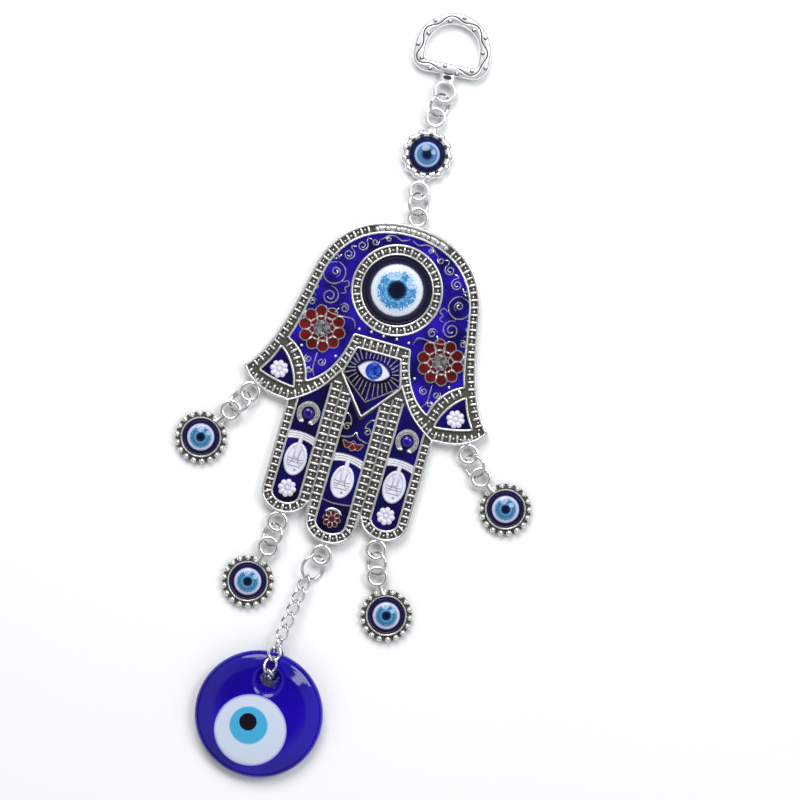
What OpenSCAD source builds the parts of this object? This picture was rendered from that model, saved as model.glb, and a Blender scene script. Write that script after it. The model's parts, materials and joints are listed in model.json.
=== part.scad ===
// Evil eye wall ornament: a cast hamsa hand lying on its back, with its hanger above it
// and four small charms and a glass eye below it.
// Origin: centre of the hand's back face. +Y runs up to the hanger, +Z out of the front.

/* [Hand plate] */
// Thickness of the cast hand
plate_t = 3.4; // [3.2:0.1:4]
// Level of the floor that the enamel lies on
cell_floor = 1.9; // [1.6:0.1:2.2]
// Level of the enamel's surface
enamel_top = 2.8; // [2.6:0.1:3.0]
// Height of the dome's top above the origin
dome_top = 45; // [44:0.5:46]
// Radius of the round field that holds the large eye
eye_seat_r = 9.6; // [9.5:0.05:9.7]

/* [Cast loops] */
// Mean radius of a cast loop
loop_r = 2.4; // [2.3:0.05:2.5]
// Width of a cast loop's wall
loop_w = 1.2; // [1.0:0.1:1.2]
// Thickness of a cast loop
loop_t = 1.0; // [0.8:0.1:1.0]
// Level of the middle of every cast loop
loop_z = 2.3; // [2.3:0.05:2.4]

/* [Jump rings] */
// Mean radius of a jump ring
ring_r = 3.05; // [3.0:0.05:3.1]
// Radius of the jump ring's wire
ring_wire = 0.43; // [0.4:0.01:0.45]
// Tilt of a jump ring about the line between the two loops it joins
ring_tilt = 36; // [35:37]
// Distance from a cast loop's centre to its jump ring's centre
ring_reach = 3.6; // [3.5:0.05:3.7]

/* [Small charms] */
// Radius of the round plate behind the beads
charm_r = 6.9; // [6.8:0.1:7]
// Distance from a charm's centre to its loop's centre
charm_loop = 10.9; // [10.8:0.1:11.2]
// Number of beads round a charm
charm_beads = 18; // [14:20]
// Radius of the small eye cabochons
small_eye_r = 5; // [4.8:0.1:5]

/* [Chain] */
// Half length of a link, along its wire's centre line
link_a = 2.3; // [2.29:0.01:2.31]
// Half width of a link, along its wire's centre line
link_b = 1.6; // [1.59:0.01:1.61]
// Radius of the link's wire
link_wire = 0.42; // [0.38:0.01:0.42]
// Twist of a curb link from its middle to each end
link_twist = 42; // [41:43]

/* [Glass eye] */
// Radius of the glass bead
glass_r = 17.5; // [17:0.1:17.6]
// Thickness of the glass bead at its middle
glass_t = 6.2; // [6:0.1:6.3]
// Radius of the hole in the glass bead
glass_hole_r = 2.4; // [2.4:0.05:2.5]

/* [Hidden] */
$fn = 48;

silver = [0.78, 0.78, 0.8];
navy = [0.1, 0.06, 0.55];
white = [0.93, 0.93, 0.97];
red = [0.5, 0.08, 0.08];
cobalt = [0.08, 0.02, 0.6];
stone_grey = [0.5, 0.5, 0.52];

// Curves and outlines

// Points of a cubic curve from a to d, pulled towards b and c; its last point is left to the next curve
function curve(a, b, c, d, n) = [
    for (i = [0 : n - 1])
        let (t = i / n, s = 1 - t)
            s * s * s * a + 3 * s * s * t * b + 3 * s * t * t * c + t * t * t * d
];

// Points of an elliptical arc
function arc(centre, rx, ry, from, to, n) = [
    for (i = [0 : n])
        let (t = from + (to - from) * i / n)
            [centre[0] + rx * cos(t), centre[1] + ry * sin(t)]
];

// The same points on the other side of the hand's axis, in reverse order
function mirrored(points) = [for (i = [len(points) - 1 : -1 : 0]) [-points[i][0], points[i][1]]];

// A closed outline from its right half, which runs from the top to the bottom of the axis
function both_sides(half) = concat(half, mirrored(half));

finger_x = 14;
finger_w = 6.8;
middle_w = 7.2;
finger_end = -34.5;
middle_end = -39;
thumb_tip = [34.6, -3.9];
shoulder = [23.3, 28];

hand_half = concat(
    curve([0, dome_top], [11.5, dome_top], [20.5, 39.5], shoulder, 10),
    curve(shoulder, [25.2, 20], [27.2, 3.2], thumb_tip, 10),
    curve(thumb_tip, [32.5, -7.8], [28, -10.4], [finger_x + finger_w, -10.2], 6),
    [[finger_x + finger_w, -10.2]],
    arc([finger_x, finger_end], finger_w, 5.7, 0, -180, 12),
    arc([0, middle_end], middle_w, 6, 0, -90, 8)
);

// Inner edge of the band that runs round the palm
palm_half = concat(
    curve([0.01, 42.2], [10.2, 42.2], [18, 37], [20.5, 27.5], 10),
    curve([20.5, 27.5], [22.2, 19.5], [23.4, 10], [25, 6.4], 6),
    curve([25, 6.4], [21, 4.6], [18, 1], [17.2, -3.8], 6),
    curve([17.2, -3.8], [12.4, -1.5], [9, 4], [7.9, 12.2], 6),
    [[7.9, 12.2]]
);

thumb_cell = concat(
    curve([26.2, 3.8], [27, 1], [28.4, -1.8], [30.2, -4.1], 4),
    curve([30.2, -4.1], [27.4, -5.3], [24, -6], [19.8, -6.3], 4),
    curve([19.8, -6.3], [20.4, -2.8], [22.4, 1.2], [26.2, 3.8], 6)
);

eye_panel_half = [[6.2, 9], [8.3, 1.2], [0, -9]];

finger_cell = concat(
    [[10.1, -2.4]],
    [[17.9, -8.8]],
    arc([finger_x, finger_end], 3.9, 2.9, 0, -180, 12)
);

middle_cell = concat(
    [[-4.3, -4.9], [0, -10.2], [4.3, -4.9]],
    arc([0, middle_end], 4.3, 3.2, 0, -180, 12)
);

big_eye = [0, 26.8];
eye_band_r = 12.3;
flower_at = [16.8, 11.2];
flower_r = 6.6;
almond_at = [0, 3.9];
fish_at = [[-finger_x, -25], [0, -27.5], [finger_x, -25]];
fish_half = [3.1, 4.6];
white_flower_at = [[-25, -2.6], [25, -2.6], [-finger_x, -33.2], [finger_x, -33.2]];
small_flower_r = 2.5;
middle_flower_at = [0, -38];
stone_r = 2.35;

// A flower seen from the front: a round middle with petals about it
module flower_outline(petals, petal_r, petal_at) {
    circle(petal_at);
    for (i = [0 : petals - 1]) rotate(360 * i / petals) translate([petal_at, 0]) circle(petal_r);
}

module small_flower() { flower_outline(8, 0.75, small_flower_r - 0.75); }

module large_flower() { flower_outline(10, 1.55, 4.7); }

module fish_outline() { polygon(arc([0, 0], fish_half[0], fish_half[1], 0, 345, 23)); }

// An almond with pointed ends, from two arcs of one radius
module almond_outline() {
    half_length = 4.5;
    half_height = 2.6;
    bow_r = (half_length * half_length + half_height * half_height) / (2 * half_height);
    intersection() {
        translate([0, half_height - bow_r]) circle(bow_r);
        translate([0, bow_r - half_height]) circle(bow_r);
    }
}

// Solids used more than once

// A flat cast loop with rounded edges, lying at the loops' level
module cast_loop(mean_r = loop_r) {
    inner = mean_r - loop_w / 2;
    outer = mean_r + loop_w / 2;
    half_t = loop_t / 2;
    bevel = 0.3;
    translate([0, 0, loop_z])
        rotate_extrude()
            polygon([
                [inner + bevel, -half_t], [outer - bevel, -half_t],
                [outer, -half_t + bevel], [outer, half_t - bevel],
                [outer - bevel, half_t], [inner + bevel, half_t],
                [inner, half_t - bevel], [inner, -half_t + bevel]
            ]);
}

// A short bridge from a loop down its +Y side, as wide and as thick as the loop's wall
module loop_neck(from_y, to_y, width) {
    translate([-width / 2, from_y, loop_z - loop_t / 2]) cube([width, to_y - from_y, loop_t]);
}

// A dome on a short cylindrical wall, as a cabochon is cut
module cabochon(r, wall, rise) {
    ball_r = (r * r + rise * rise) / (2 * rise);
    cylinder(r = r, h = wall);
    intersection() {
        translate([0, 0, wall + rise - ball_r]) sphere(ball_r, $fn = 96);
        cylinder(r = r, h = wall + rise);
    }
}

// A faceted stone's envelope: a short girdle and a sloping crown
module rhinestone() {
    cylinder(r = stone_r, h = 0.5);
    translate([0, 0, 0.5]) cylinder(r1 = stone_r, r2 = 1.3, h = 1.1);
}

// A jump ring whose centre is at the origin and which joins loops along +Y and -Y
module jump_ring(mean_r = ring_r, tilt = ring_tilt) {
    rotate([0, tilt, 0]) rotate_extrude($fn = 96) translate([mean_r, 0]) circle(ring_wire);
}

// Places a jump ring beyond the loop at `at`, towards the bearing `turn`, measured from +X
module ring_beyond(at, turn, reach = ring_reach) {
    translate([at[0], at[1], loop_z]) rotate(turn - 90) translate([0, reach, 0]) children();
}

// A point at a distance and bearing from another
function beyond(at, turn, distance) = at + distance * [cos(turn), sin(turn)];

// Chain

link_rings = 24;
link_sides = 8;

// Centre line of a curb link, long along Y and twisted about Y towards each end
function link_point(t) =
    let (turn = link_twist * cos(t), side = link_b * sin(t))
        [side * cos(turn), link_a * cos(t), side * sin(turn)];

// Ring of points round the wire at angle t of the centre line
function wire_ring(t) =
    let (
        step = 3,
        along = link_point(t + step) - link_point(t - step),
        forward = along / norm(along),
        out0 = link_point(t) / norm(link_point(t)),
        up0 = cross(forward, out0),
        up = up0 / norm(up0),
        out = cross(up, forward)
    )
        [
            for (j = [0 : link_sides - 1])
                let (a = 360 * j / link_sides)
                    link_point(t) + link_wire * (cos(a) * out + sin(a) * up)
        ];

link_points = [for (i = [0 : link_rings - 1]) each wire_ring(360 * i / link_rings)];

link_faces = [
    for (i = [0 : link_rings - 1])
        for (j = [0 : link_sides - 1])
            let (
                i2 = (i + 1) % link_rings,
                j2 = (j + 1) % link_sides,
                a = i * link_sides + j,
                b = i2 * link_sides + j,
                c = i2 * link_sides + j2,
                d = i * link_sides + j2
            )
                each [[a, b, c], [a, c, d]]
];

module curb_link() {
    color(silver) polyhedron(points = link_points, faces = link_faces, convexity = 4);
}

// Rings and charms above the hand

top_loop = [0, 47.4];
lower_ring_turn = 104;
connector_turn = 93.3;
upper_ring_turn = 86;
connector_loop = 10.3;
hanger_ring_reach = 3.8;
connector_low = beyond(top_loop, lower_ring_turn, 2 * ring_reach);
connector_at = beyond(connector_low, connector_turn, connector_loop);
connector_high = beyond(connector_at, connector_turn, connector_loop);

module lower_jump_ring() {
    color(silver) ring_beyond(top_loop, lower_ring_turn) jump_ring();
}

module upper_jump_ring() {
    color(silver) ring_beyond(connector_high, upper_ring_turn) jump_ring();
}

// A round cast setting with beads about its rim, a wall round its stone and a loop at +Y
module eye_setting(plate_r, beads, bead_r, bead_at, seat_r, loop_at, plate_top = 1.6) {
    wall_top = 2.7;
    wall = 0.55;
    difference() {
        union() {
            cylinder(r = plate_r, h = plate_top);
            cylinder(r = seat_r + wall, h = wall_top);
        }
        translate([0, 0, plate_top]) cylinder(r = seat_r, h = wall_top);
    }
    for (i = [0 : beads - 1])
        rotate(360 * (i + 0.5) / beads) translate([bead_at, 0, 1.5]) sphere(bead_r);
    translate([0, loop_at, 0]) cast_loop();
    loop_neck(seat_r + wall / 2, loop_at - loop_r, 2.4);
}

// Room between a small cabochon and the wall round it
seat_gap = 0.03;

connector_beads = 12;
connector_plate_r = 6.2;
connector_eye_r = 4.7;

module connector_setting() {
    color(silver)
        translate([connector_at[0], connector_at[1], 0])
            rotate(connector_turn - 90) {
                eye_setting(
                    connector_plate_r, connector_beads, 1.15, 6.1, connector_eye_r, connector_loop
                );
                translate([0, -connector_loop, 0]) cast_loop();
                rotate(180) loop_neck(connector_eye_r + 0.3, connector_loop - loop_r, 2.4);
            }
}

module connector_cabochon() {
    color(navy)
        translate([connector_at[0], connector_at[1], 1.6]) cabochon(connector_eye_r - seat_gap, 0.6, 1.9);
}

// Hanger

hanger_lean = 5;
hanger_t = 3.2;
hanger_mid_r = 8.95;
hanger_bar = 3.3;
hanger_arch_y = 11.4;
hanger_foot_y = 6.4;
hanger_corner_r = 2.6;
hanger_loop_r = 2.7;
hanger_at = beyond(connector_high, upper_ring_turn, ring_reach + hanger_ring_reach);

// Section of the hanger's bar, a rectangle with its edges taken off
module hanger_section() {
    w = hanger_bar / 2;
    bevel = 0.7;
    polygon([
        [-w + bevel, 0], [w - bevel, 0], [w, bevel], [w, hanger_t - bevel],
        [w - bevel, hanger_t], [-w + bevel, hanger_t], [-w, hanger_t - bevel], [-w, bevel]
    ]);
}

// A straight length of the hanger's bar from the origin along +Y
module hanger_run(length) {
    rotate([90, 0, 180]) linear_extrude(length) hanger_section();
}

module hanger() {
    leg = hanger_arch_y - hanger_foot_y - hanger_corner_r;
    foot_half = hanger_mid_r - hanger_corner_r;
    color(silver)
        translate([hanger_at[0], hanger_at[1], 0])
            rotate(hanger_lean) {
                translate([0, hanger_arch_y, 0])
                    rotate_extrude(angle = 180) translate([hanger_mid_r, 0]) hanger_section();
                for (side = [-1, 1]) {
                    translate([side * hanger_mid_r, hanger_arch_y - leg, 0]) hanger_run(leg);
                    translate([side * foot_half, hanger_foot_y + hanger_corner_r, 0])
                        rotate(side > 0 ? -90 : 180)
                            rotate_extrude(angle = 90)
                                translate([hanger_corner_r, 0]) hanger_section();
                }
                translate([foot_half, hanger_foot_y, 0]) rotate(90) hanger_run(2 * foot_half);
                translate([-2.2, 2.9, 0.8]) cube([4.4, hanger_foot_y - 2.9, 2]);
                cast_loop(hanger_loop_r);
            }
}

// Hand plate

// Centres of the five lower loops: thumbs, outer fingers and middle finger
thumb_loop = [31, -10.9];
finger_loop = [14, -42.9];
middle_loop = [0, -48.3];

module hand_plate() {
    color(silver) {
        difference() {
            linear_extrude(plate_t) polygon(both_sides(hand_half));
            translate([0, 0, cell_floor])
                linear_extrude(plate_t) {
                    difference() {
                        polygon(both_sides(palm_half));
                        translate(big_eye) circle(eye_band_r);
                        for (side = [-1, 1])
                            translate([side * flower_at[0], flower_at[1]]) circle(flower_r);
                    }
                    for (side = [-1, 1])
                        translate([side * flower_at[0], flower_at[1]]) large_flower();
                    polygon(both_sides(eye_panel_half));
                    polygon(thumb_cell);
                    polygon(mirrored(thumb_cell));
                    polygon(finger_cell);
                    polygon(mirrored(finger_cell));
                    polygon(middle_cell);
                    translate(big_eye) circle(eye_seat_r);
                }
        }
        translate([top_loop[0], top_loop[1], 0]) cast_loop();
        for (side = [-1, 1]) {
            translate([side * thumb_loop[0], thumb_loop[1], 0]) cast_loop();
            translate([side * finger_loop[0], finger_loop[1], 0]) cast_loop();
        }
        translate([middle_loop[0], middle_loop[1], 0]) {
            cast_loop();
            loop_neck(loop_r, loop_r + 1.6, 2.4);
        }
    }
}

// Enamel fillings, each one poured into its own cell

module enamel(tint) {
    color(tint) translate([0, 0, cell_floor]) linear_extrude(enamel_top - cell_floor) children();
}

module palm_enamel() {
    enamel(navy)
        difference() {
            polygon(both_sides(palm_half));
            translate(big_eye) circle(eye_band_r);
            for (side = [-1, 1]) translate([side * flower_at[0], flower_at[1]]) circle(flower_r);
        }
}

module flower_enamel(side) {
    enamel(red)
        translate([side * flower_at[0], flower_at[1]])
            difference() {
                large_flower();
                circle(stone_r);
            }
}

module eye_panel_enamel() {
    enamel(navy)
        difference() {
            polygon(both_sides(eye_panel_half));
            translate(almond_at) almond_outline();
        }
}

module almond_enamel() {
    enamel(white)
        translate(almond_at)
            difference() {
                almond_outline();
                circle(stone_r);
            }
}

module right_thumb_enamel() {
    enamel(navy)
        difference() {
            polygon(thumb_cell);
            translate(white_flower_at[1]) small_flower();
        }
}

module left_thumb_enamel() { mirror([1, 0, 0]) right_thumb_enamel(); }

module right_finger_enamel() {
    enamel(navy)
        difference() {
            polygon(finger_cell);
            translate(fish_at[2]) fish_outline();
            translate(white_flower_at[3]) small_flower();
        }
}

module left_finger_enamel() { mirror([1, 0, 0]) right_finger_enamel(); }

module middle_finger_enamel() {
    enamel(navy)
        difference() {
            polygon(middle_cell);
            translate(fish_at[1]) fish_outline();
            translate(middle_flower_at) small_flower();
        }
}

module middle_flower_enamel() { enamel(red) translate(middle_flower_at) small_flower(); }

module white_fish_enamel() {
    enamel(white) for (at = fish_at) translate(at) fish_outline();
}

module white_flower_enamel() {
    enamel(white)
        for (i = [0 : 3])
            translate(white_flower_at[i])
                mirror([i % 2 == 0 ? 1 : 0, 0]) small_flower();
}

// Stones set in the hand

module eye_cabochon() {
    color(navy) translate([big_eye[0], big_eye[1], cell_floor]) cabochon(9.35, 1.1, 3.2);
}

module stone(at, tint) { color(tint) translate([at[0], at[1], cell_floor]) rhinestone(); }

// Small charms: bearing from the hand's loop to the charm's loop, and on to the charm

left_thumb_turn = [239.5, 238];
right_thumb_turn = [-46.2, -35.5];
left_finger_turn = [265.4, 255.6];
right_finger_turn = [-71.8, -60.6];

function charm_loop_at(from, turn) = beyond(from, turn[0], 2 * ring_reach);
function charm_at(from, turn) = beyond(charm_loop_at(from, turn), turn[1], charm_loop);

module charm_ring(from, turn) {
    color(silver) ring_beyond(from, turn[0]) jump_ring();
}

module charm(from, turn) {
    at = charm_at(from, turn);
    color(silver)
        translate([at[0], at[1], 0])
            rotate(turn[1] + 90)
                eye_setting(charm_r, charm_beads, 0.85, 6.65, small_eye_r, charm_loop);
}

module charm_cabochon(from, turn) {
    at = charm_at(from, turn);
    color(navy) translate([at[0], at[1], 1.6]) cabochon(small_eye_r - seat_gap, 0.6, 2.1);
}

left_thumb_loop = [-thumb_loop[0], thumb_loop[1]];
left_finger_loop = [-finger_loop[0], finger_loop[1]];

// Glass eye. Its own frame has its origin on the hole's axis at the bead's back, +Y towards the rim
// that the chain passes over. It lies on its lower edge and on the links that pass behind it.

hole_to_middle = 10.2;
glass_edge_r = 2.1;
glass_tilt = 4;
hole_at = [-4.4, -84.2];
hole_lift = (hole_to_middle + glass_r - glass_edge_r) * sin(glass_tilt);

module on_glass() {
    translate([hole_at[0], hole_at[1], hole_lift]) rotate([glass_tilt, 0, 0]) children();
}

// Half profile of the bead: flat back, round edge, low dome
module glass_profile() {
    edge_at = glass_r - glass_edge_r;
    polygon(concat(
        [[0, 0]],
        arc([edge_at, glass_edge_r], glass_edge_r, glass_edge_r, -90, 0, 6),
        arc([edge_at, glass_edge_r + 0.2], glass_edge_r, glass_edge_r, 0, 90, 6),
        [[13, 5.2], [10.5, glass_t - 0.55], [8, glass_t - 0.3], [4, glass_t - 0.08], [0, glass_t]]
    ));
}

white_at = [-1, -14.6];
white_r = 9.9;
sky_at = [-1.8, -13.4];
sky_r = 5.25;
pupil_at = [-2.2, -12.5];
pupil_r = 2.4;
layer_low = 3.9;

// The whole bead before its hole is made
module glass_blank() {
    translate([0, -hole_to_middle, 0]) rotate_extrude($fn = 128) glass_profile();
}

// A round column through the bead's front, as deep as the coloured layers
module layer_column(at, r) {
    translate([at[0], at[1], layer_low]) cylinder(r = r, h = glass_t);
}

module glass_bead() {
    sink_low = 3.2;
    sink_h = 3;
    back_sink = 0.5;
    color(cobalt)
        on_glass()
            difference() {
                glass_blank();
                translate([0, 0, -1]) cylinder(r = glass_hole_r, h = glass_t + 2);
                translate([0, 0, sink_low])
                    cylinder(r1 = glass_hole_r, r2 = glass_hole_r + 2.1, h = sink_h);
                cylinder(r1 = glass_hole_r + 0.4, r2 = glass_hole_r, h = back_sink);
                layer_column(white_at, white_r);
            }
}

// One colour of the eye, level with the bead's front, round the next colour's column
module glass_layer(tint, at, r, inner_at, inner_r) {
    color(tint)
        on_glass()
            difference() {
                intersection() {
                    glass_blank();
                    layer_column(at, r);
                }
                if (inner_r > 0) layer_column(inner_at, inner_r);
            }
}

module glass_white() { glass_layer(white, white_at, white_r, sky_at, sky_r); }

module glass_sky() { glass_layer([0.35, 0.7, 0.92], sky_at, sky_r, pupil_at, pupil_r); }

module glass_pupil() { glass_layer([0.03, 0.03, 0.05], pupil_at, pupil_r, pupil_at, 0); }

// Chain between the middle finger and the glass eye

chain_turn = -107;
chain_ring_r = 3.4;
chain_ring_tilt = -33;
chain_ring_reach = 3.95;
chain_links = 5;
chain_roll = 35;
rim_ring_r = 2.1;
rim_ring_at = [0, 9.85, 2.05];
rim_ring_turns = [-7, -16, -2];

// A point given in the glass eye's frame, in the part's frame
function from_glass(p) = [
    hole_at[0] + p[0],
    hole_at[1] + p[1] * cos(glass_tilt) - p[2] * sin(glass_tilt),
    hole_lift + p[1] * sin(glass_tilt) + p[2] * cos(glass_tilt)
];

// The chain runs straight from the jump ring's far end to the rim ring's near end
chain_start_xy = beyond(middle_loop, chain_turn, chain_ring_reach + chain_ring_r);
chain_start = [chain_start_xy[0], chain_start_xy[1], loop_z];
chain_end = from_glass(rim_ring_at + [0, rim_ring_r, 0]);
chain_run = chain_end - chain_start;
chain_way = chain_run / norm(chain_run);
end_room = 1.35;
chain_pitch = (norm(chain_run) - 2 * end_room) / (chain_links - 1);

module chain_jump_ring() {
    color(silver)
        ring_beyond(middle_loop, chain_turn, chain_ring_reach)
            jump_ring(chain_ring_r, chain_ring_tilt);
}

module chain_link(number) {
    at = chain_start + (end_room + (number - 1) * chain_pitch) * chain_way;
    bearing = atan2(chain_way[1], chain_way[0]);
    rise = asin(chain_way[2]);
    translate(at) rotate([rise, 0, bearing - 90]) rotate([0, chain_roll, 0]) curb_link();
}

// The links of the loop through the glass, from the rim over the front, down the hole and back
// behind the bead: each one's centre and its turns about X, Y and Z, in the glass eye's frame
LOOP_LINKS = [
    [[-0.45, 7.3, 4.3], [142, -4, -2]],
    [[-0.55, 4, 5.5], [-179, -8, -10]],
    [[-0.2, 1.3, 3.9], [-120, -4, 2]],
    [[0, 1.05, 0.65], [-65, 10, 4]],
    [[0.15, 3.7, -1], [0, 0, 0]],
    [[0.3, 7.1, -0.05], [33, -5, 0]]
];

module loop_link(number) {
    on_glass() translate(LOOP_LINKS[number][0]) rotate(LOOP_LINKS[number][1]) curb_link();
}

module rim_ring() {
    color(silver)
        on_glass()
            translate(rim_ring_at)
                rotate(rim_ring_turns)
                    rotate([0, 90, 0])
                        rotate_extrude($fn = 96) translate([rim_ring_r, 0]) circle(link_wire);
}

hanger();
upper_jump_ring();
connector_setting();
connector_cabochon();
lower_jump_ring();
hand_plate();
palm_enamel();
eye_panel_enamel();
left_thumb_enamel();
right_thumb_enamel();
left_finger_enamel();
middle_finger_enamel();
right_finger_enamel();
flower_enamel(-1);  // left_flower_enamel
flower_enamel(1);  // right_flower_enamel
middle_flower_enamel();
white_fish_enamel();
white_flower_enamel();
almond_enamel();
eye_cabochon();
stone([-flower_at[0], flower_at[1]], stone_grey);  // left_flower_stone
stone(flower_at, stone_grey);  // right_flower_stone
stone(almond_at, [0.1, 0.15, 0.9]);  // eye_stone
charm_ring(left_thumb_loop, left_thumb_turn);  // left_thumb_ring
charm(left_thumb_loop, left_thumb_turn);  // left_thumb_charm
charm_cabochon(left_thumb_loop, left_thumb_turn);  // left_thumb_cabochon
charm_ring(thumb_loop, right_thumb_turn);  // right_thumb_ring
charm(thumb_loop, right_thumb_turn);  // right_thumb_charm
charm_cabochon(thumb_loop, right_thumb_turn);  // right_thumb_cabochon
charm_ring(left_finger_loop, left_finger_turn);  // left_finger_ring
charm(left_finger_loop, left_finger_turn);  // left_finger_charm
charm_cabochon(left_finger_loop, left_finger_turn);  // left_finger_cabochon
charm_ring(finger_loop, right_finger_turn);  // right_finger_ring
charm(finger_loop, right_finger_turn);  // right_finger_charm
charm_cabochon(finger_loop, right_finger_turn);  // right_finger_cabochon
chain_jump_ring();
chain_link(1);  // chain_link_1
chain_link(2);  // chain_link_2
chain_link(3);  // chain_link_3
chain_link(4);  // chain_link_4
chain_link(5);  // chain_link_5
rim_ring();
loop_link(0);  // front_link
loop_link(1);  // hook_link
loop_link(2);  // hole_link
loop_link(3);  // hole_back_link
loop_link(4);  // back_link
loop_link(5);  // rim_back_link
glass_bead();
glass_white();
glass_sky();
glass_pupil();
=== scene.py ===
"""Looks of the evil eye wall ornament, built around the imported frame.

Sizes in the builders are in millimetres, in the part's frame or in a piece's own frame, and
become metres when a piece is made. +Y runs up to the hanger and +Z out of the front.
"""

import json
import math
import random

import bmesh
import bpy
import numpy as np
from mathutils import Matrix, Vector


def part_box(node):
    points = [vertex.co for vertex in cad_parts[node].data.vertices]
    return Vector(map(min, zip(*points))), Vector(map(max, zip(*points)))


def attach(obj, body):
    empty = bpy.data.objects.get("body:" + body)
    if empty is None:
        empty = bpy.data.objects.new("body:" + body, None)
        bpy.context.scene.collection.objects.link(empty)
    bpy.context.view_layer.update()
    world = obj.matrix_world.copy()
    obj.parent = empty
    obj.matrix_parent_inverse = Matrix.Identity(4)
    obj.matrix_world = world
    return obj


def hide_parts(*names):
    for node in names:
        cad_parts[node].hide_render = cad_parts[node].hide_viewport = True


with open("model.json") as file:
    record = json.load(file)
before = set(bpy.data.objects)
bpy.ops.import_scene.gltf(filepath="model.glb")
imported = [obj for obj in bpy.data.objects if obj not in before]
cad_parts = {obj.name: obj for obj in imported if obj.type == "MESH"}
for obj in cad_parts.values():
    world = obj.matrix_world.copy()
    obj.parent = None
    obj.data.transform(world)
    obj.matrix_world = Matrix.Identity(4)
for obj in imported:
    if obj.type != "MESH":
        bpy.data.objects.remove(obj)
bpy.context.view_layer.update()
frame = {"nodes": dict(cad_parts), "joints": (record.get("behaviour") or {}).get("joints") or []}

MM = 0.001
JOINTS = {j["name"]: j for j in frame["joints"]}
rng = random.Random(7)


# --- places from the frame


def joint_at(name):
    """A joint's point, in millimetres."""
    return np.array(JOINTS[name]["pos_m"]) / MM


def middle(node):
    """The middle of a CAD node's box, in millimetres."""
    low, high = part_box(node)
    return np.array((low + high) / 2) / MM


def placed(at, turn=0.0):
    """A frame at a point given in millimetres, turned about +Z by degrees."""
    return Matrix.Translation(Vector(at) * MM) @ Matrix.Rotation(math.radians(turn), 4, "Z")


def seat_of(node):
    """Radius, height and frame of a round CAD node that stands on its base."""
    low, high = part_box(node)
    at = [(low.x + high.x) / 2 / MM, (low.y + high.y) / 2 / MM, low.z / MM]
    return (high.x - low.x) / 2 / MM, (high.z - low.z) / MM, placed(at)


def facing(start, end):
    """The distance from a point to another, and the frame at the first whose x faces it."""
    dx, dy = end[0] - start[0], end[1] - start[1]
    turn = math.degrees(math.atan2(dy, dx))
    return math.hypot(dx, dy), placed((start[0], start[1], 0), turn)


LOOP_Z = float(joint_at("hand_swing")[2])
ENAMEL_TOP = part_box("palm_enamel")[1].z / MM
ENAMEL_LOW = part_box("palm_enamel")[0].z / MM
# the casting's edge lines stand above the fish, and the floor of its bands lies below them
RIM_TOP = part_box("white_fish_enamel")[1].z / MM + 0.6
BAND_FLOOR = 2.45
HAND_EYE_R = 9.35


# --- curves


def curve(a, b, c, d, n):
    """Points of a cubic curve from a to d, without its last point."""
    t = np.arange(n)[:, None] / n
    s = 1 - t
    a, b, c, d = (np.array(p, float) for p in (a, b, c, d))
    return s**3 * a + 3 * s * s * t * b + 3 * s * t * t * c + t**3 * d


def arc(centre, rx, ry, start, stop, n):
    t = np.radians(np.linspace(start, stop, n + 1))
    return np.column_stack([centre[0] + rx * np.cos(t), centre[1] + ry * np.sin(t)])


def circle(centre, r, n):
    return arc(centre, r, r, 0, 360 - 360 / n, n - 1)


def bearings(n, start=0.0):
    """n even angles round a circle, from a start given in steps."""
    return (np.arange(n) + start) * 2 * np.pi / n


def round_about(n, start=0.0):
    """Unit vectors at n even bearings."""
    a = bearings(n, start)
    return np.column_stack([np.cos(a), np.sin(a)])


def full(value, power):
    """A sine or cosine with its curve's corners filled out by a power under one."""
    return np.sign(value) * np.abs(value) ** power


def mirrored(points):
    """The points on the other side of the hand's axis, in reverse order."""
    return points[::-1] * np.array([-1, 1])


def both_sides(half):
    """A right half's points and then the left half's, back to the axis."""
    return np.vstack([half, mirrored(half)])


def line(*points):
    return np.array(points, float)


def spiral(centre, r_out, r_in, start, turns):
    """A scroll from its outer end inwards. start is the outer end's bearing in degrees."""
    t = np.linspace(0, 1, 30)
    r = r_out + (r_in - r_out) * t**0.8
    a = np.radians(start + 360 * turns * t)
    return np.column_stack([centre[0] + r * np.cos(a), centre[1] + r * np.sin(a)])


def at_level(flat, z):
    """Points of a flat outline lifted to a level, or each to its own."""
    return np.column_stack([flat, np.broadcast_to(z, len(flat))])


def lengths(path):
    """How far along a path each of its points is."""
    return np.concatenate([[0], np.cumsum(np.linalg.norm(np.diff(path, axis=0), axis=1))])


def resample(path, step, closed=False):
    """Points at even steps along a path, as near to step as whole steps allow."""
    path = np.asarray(path, float)
    if closed:
        path = np.vstack([path, path[:1]])
    s = lengths(path)
    count = max(2, round(s[-1] / step) + 1)
    at = np.linspace(0, s[-1], count)
    out = np.column_stack([np.interp(at, s, path[:, k]) for k in range(path.shape[1])])
    return out[:-1] if closed else out


def smooth(path):
    """A smooth curve through given points (Catmull-Rom)."""
    p = np.asarray(path, float)
    ends = np.vstack([2 * p[0] - p[1], p, 2 * p[-1] - p[-2]])
    out = []
    for i in range(1, len(ends) - 2):
        a, b, c, d = ends[i - 1 : i + 3]
        n = max(3, int(np.linalg.norm(c - b) / 0.8))
        for t in np.arange(n) / n:
            out.append(
                0.5 * (2 * b + (c - a) * t + (2 * a - 5 * b + 4 * c - d) * t**2
                       + (3 * b - a - 3 * c + d) * t**3)
            )
    out.append(p[-1])
    return np.array(out)


def directions(path, closed):
    """Unit tangents at a path's points."""
    if closed:
        d = np.roll(path, -1, axis=0) - np.roll(path, 1, axis=0)
    else:
        d = np.gradient(path, axis=0)
    return d / np.maximum(np.linalg.norm(d, axis=1), 1e-9)[:, None]


def left_of(path, closed):
    """Unit normals on a path's left."""
    d = directions(path, closed)
    return np.column_stack([-d[:, 1], d[:, 0]])


# --- solids


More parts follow.
